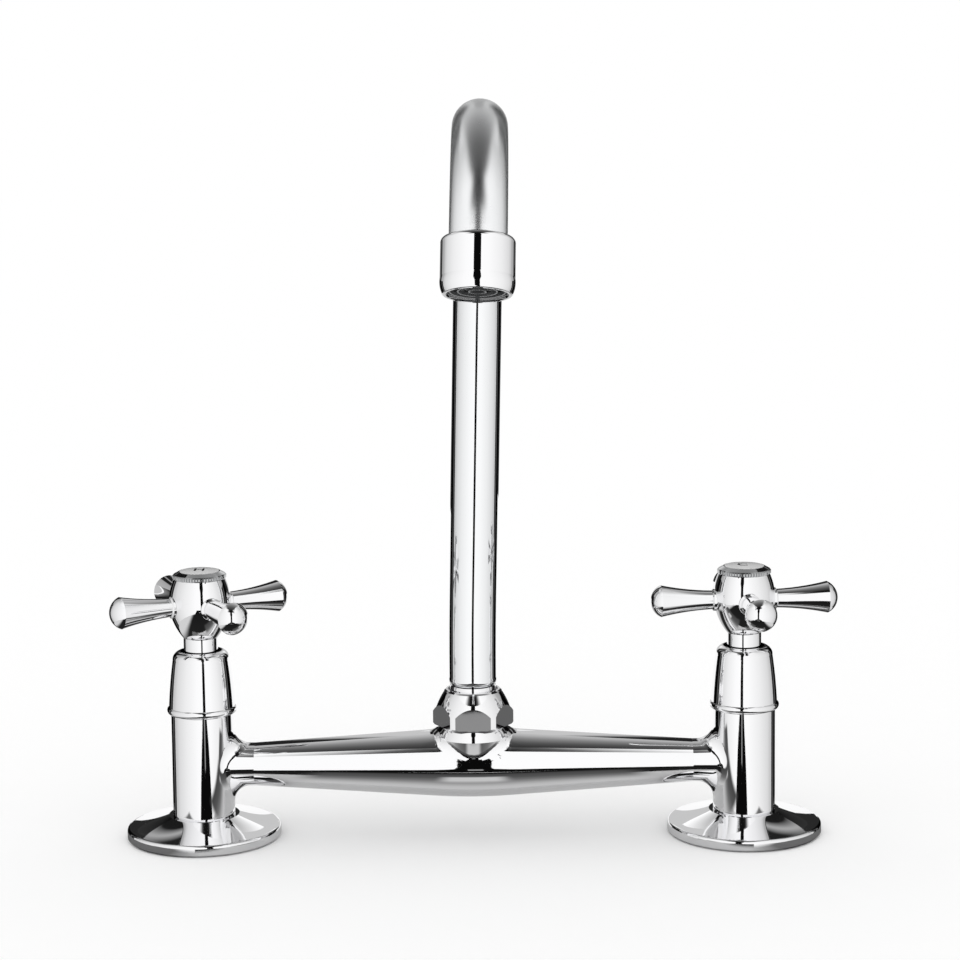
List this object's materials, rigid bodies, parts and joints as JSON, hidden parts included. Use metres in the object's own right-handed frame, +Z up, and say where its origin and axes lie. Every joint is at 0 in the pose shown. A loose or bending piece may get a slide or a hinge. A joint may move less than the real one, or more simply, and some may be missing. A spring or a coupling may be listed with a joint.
{
  "type": "bridge kitchen faucet",
  "caption": "Deck-mounted bridge mixer: a pillar tap with a cross handle at each end of a spindle-shaped bridge, and a tall swivelling tube spout with an aerator in the middle.",
  "frame": {"origin": "on the deck's top face, midway between the axes of the two pillars", "axes": "+X to the cold side, the user's right; +Y away from the user; +Z up"},
  "size_m": [0.2701, 0.2038, 0.3289],
  "materials": {
    "chrome": "bright chromium plate on brass castings and turned parts",
    "chrome_tube": "bright chromium plate on bent brass tube",
    "chrome_collar": "turned brass, chromium plated where it shows",
    "brass": "turned brass",
    "steel": "stainless steel",
    "rubber": "moulded black rubber",
    "nylon": "white nylon",
    "fibre": "vulcanised fibre",
    "ceramic": "lapped alumina",
    "black_plastic": "moulded black plastic",
    "grille_plastic": "moulded grey plastic",
    "enamel": "white enamelled plate"
  },
  "bodies": {
    "base": {"bridge_body": "chrome", "bridge_orings": "rubber", "spout_nut": "chrome", "hot_pillar": "chrome", "hot_flange": "chrome", "hot_base_seal": "rubber", "hot_tail": "brass", "hot_deck_washer": "rubber", "hot_backnut": "brass", "hot_headwork": "chrome_collar", "hot_headwork_washer": "fibre", "hot_seat_seal": "rubber", "hot_fixed_disc": "ceramic", "hot_shroud": "chrome", "cold_pillar": "chrome", "cold_flange": "chrome", "cold_base_seal": "rubber", "cold_tail": "brass", "cold_deck_washer": "rubber", "cold_backnut": "brass", "cold_headwork": "chrome_collar", "cold_headwork_washer": "fibre", "cold_seat_seal": "rubber", "cold_fixed_disc": "ceramic", "cold_shroud": "chrome"},
    "spout": {"spout_spigot": "chrome_collar", "spout_orings": "rubber", "spout_thrust_washer": "nylon", "spout_tube": "chrome_tube", "outlet_nozzle": "brass", "aerator_housing": "chrome", "aerator_washer": "rubber", "aerator_screen": "steel", "aerator_core": "black_plastic", "aerator_grille": "grille_plastic"},
    "hot_handle": {"hot_turning_disc": "ceramic", "hot_spindle": "brass", "hot_spindle_orings": "rubber", "hot_circlip": "steel", "hot_hub": "chrome", "hot_arms": "chrome", "hot_handle_screw": "steel", "hot_index_ring": "chrome", "hot_index_plate": "enamel"},
    "cold_handle": {"cold_turning_disc": "ceramic", "cold_spindle": "brass", "cold_spindle_orings": "rubber", "cold_circlip": "steel", "cold_hub": "chrome", "cold_arms": "chrome", "cold_handle_screw": "steel", "cold_index_ring": "chrome", "cold_index_plate": "enamel"}
  },
  "joints": [
    {"name": "spout_swivel", "type": "hinge", "parent": "base", "child": "spout", "pos_m": [0, 0, 0.0555], "axis": [0, 0, 1], "continuous": true},
    {"name": "hot_turn", "type": "hinge", "parent": "base", "child": "hot_handle", "pos_m": [-0.1016, 0, 0.0884], "axis": [0, 0, 1], "range_deg": [0, 90]},
    {"name": "cold_turn", "type": "hinge", "parent": "base", "child": "cold_handle", "pos_m": [0.1016, 0, 0.0884], "axis": [0, 0, 1], "range_deg": [-90, 0]}
  ]
}
